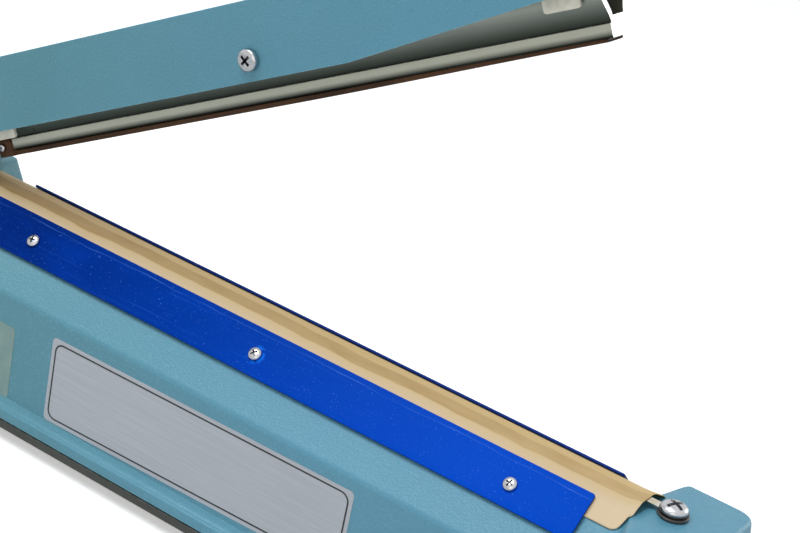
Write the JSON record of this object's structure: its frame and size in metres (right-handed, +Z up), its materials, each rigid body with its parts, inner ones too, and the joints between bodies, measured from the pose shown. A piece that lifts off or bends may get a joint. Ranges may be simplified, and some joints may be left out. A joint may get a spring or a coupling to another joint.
{
  "type": "heat sealer",
  "caption": "Hand impulse heat sealer for plastic bags: long sloped metal base with a taped heating ridge, and a hinged arm with a rubber-faced pressing jaw, shown open.",
  "frame": {"origin": "on the bench plane of the four soles, under the middle of the box round the whole machine with its arm open", "axes": "+X along the base from the hinge end to the handle end, -Y the front with the dial and the lamp, +Z up"},
  "size_m": [0.44, 0.0934, 0.3116],
  "materials": {
    "paint": "fine textured enamel",
    "plate_paint": "satin dark enamel",
    "blue_strip": "glossy blue face",
    "cloth": "woven coated cloth",
    "tape": "brown coated cloth tape",
    "foot_rubber": "matte",
    "silicone": "matte",
    "aluminium": "mill finish",
    "steel": "bright plated",
    "nylon": "satin",
    "black_plastic": "satin",
    "dial": "satin silver",
    "red_lens": "clear red",
    "iron": "laminated",
    "winding": "taped copper winding",
    "board": "printed board",
    "bakelite": "moulded",
    "insulator": "pressed board",
    "nichrome": "bright ribbon"
  },
  "bodies": {
    "base": {"body_shell": "paint", "hinge_bracket": "paint", "bottom_plate": "plate_paint", "front_strip": "blue_strip", "rear_strip": "blue_strip", "base_cloth": "cloth", "foot_front_hinge": "foot_rubber", "foot_front_handle": "foot_rubber", "foot_rear_hinge": "foot_rubber", "foot_rear_handle": "foot_rubber", "open_stop": "foot_rubber", "lead_outlet": "foot_rubber", "plate_screw_front_hinge": "steel", "plate_screw_front_handle": "steel", "plate_screw_rear_hinge": "steel", "plate_screw_rear_handle": "steel", "front_strip_screw_1": "steel", "front_strip_screw_2": "steel", "front_strip_screw_3": "steel", "rear_strip_screw_1": "steel", "rear_strip_screw_2": "steel", "rear_strip_screw_3": "steel", "terminal_screw_hinge": "steel", "terminal_screw_handle": "steel", "hinge_pin": "steel", "bracket_screw_front": "steel", "bracket_screw_rear": "steel", "return_spring": "steel", "switch_bracket": "steel", "dial_nut": "steel", "timer_switch": "black_plastic", "lamp_bezel": "black_plastic", "potentiometer": "black_plastic", "dial_plate": "dial", "lamp_lens": "red_lens", "transformer_core": "iron", "transformer_coil": "winding", "circuit_board": "board", "terminal_bush_hinge": "bakelite", "terminal_bush_handle": "bakelite", "insulating_strip": "insulator", "heating_element": "nichrome"},
    "arm": {"arm_cover": "paint", "tail_pin": "steel", "hinge_spacer_front": "nylon", "hinge_spacer_rear": "nylon", "jaw_screw": "steel", "jaw_nut": "steel"},
    "jaw": {"jaw_bar": "aluminium", "rubber_strip": "silicone", "jaw_tape": "tape", "tape_screw": "steel", "guide_pad_hinge": "nylon", "guide_pad_handle": "nylon"},
    "rod": {"pull_rod": "steel", "rod_eye": "steel"},
    "knob": {"timer_knob": "black_plastic", "timer_shaft": "steel"},
    "button": {"switch_button": "nylon"}
  },
  "joints": [
    {"name": "arm_hinge", "type": "hinge", "parent": "base", "child": "arm", "pos_m": [-0.1665, 0.0057, 0.10926], "axis": [0, 1, 0], "range_deg": [0, 28.4], "stiffness_Nm_per_rad": 0.75, "springref_deg": -80.21},
    {"name": "jaw_rock", "type": "hinge", "parent": "arm", "child": "jaw", "pos_m": [-0.0135, 0.0057, 0.19465], "axis": [0, 1, 0], "range_deg": [-0.1, 0.1]},
    {"name": "rod_slide", "type": "slide", "parent": "base", "child": "rod", "axis": [0, 0, 1], "range_m": [0, 0.0086], "deforming": ["return_spring"]},
    {"name": "timer_turn", "type": "hinge", "parent": "base", "child": "knob", "pos_m": [-0.184, -0.0393, 0.0403], "axis": [0, 1, 0], "range_deg": [0, 270]},
    {"name": "switch_press", "type": "slide", "parent": "base", "child": "button", "axis": [0, 0, 1], "range_m": [0, 0.00081]}
  ],
  "couplings": [
    {"joint": "rod_slide", "follows": "arm_hinge", "m_per_rad": 0.017272},
    {"joint": "switch_press", "follows": "arm_hinge", "m_per_rad": 0.001614}
  ]
}
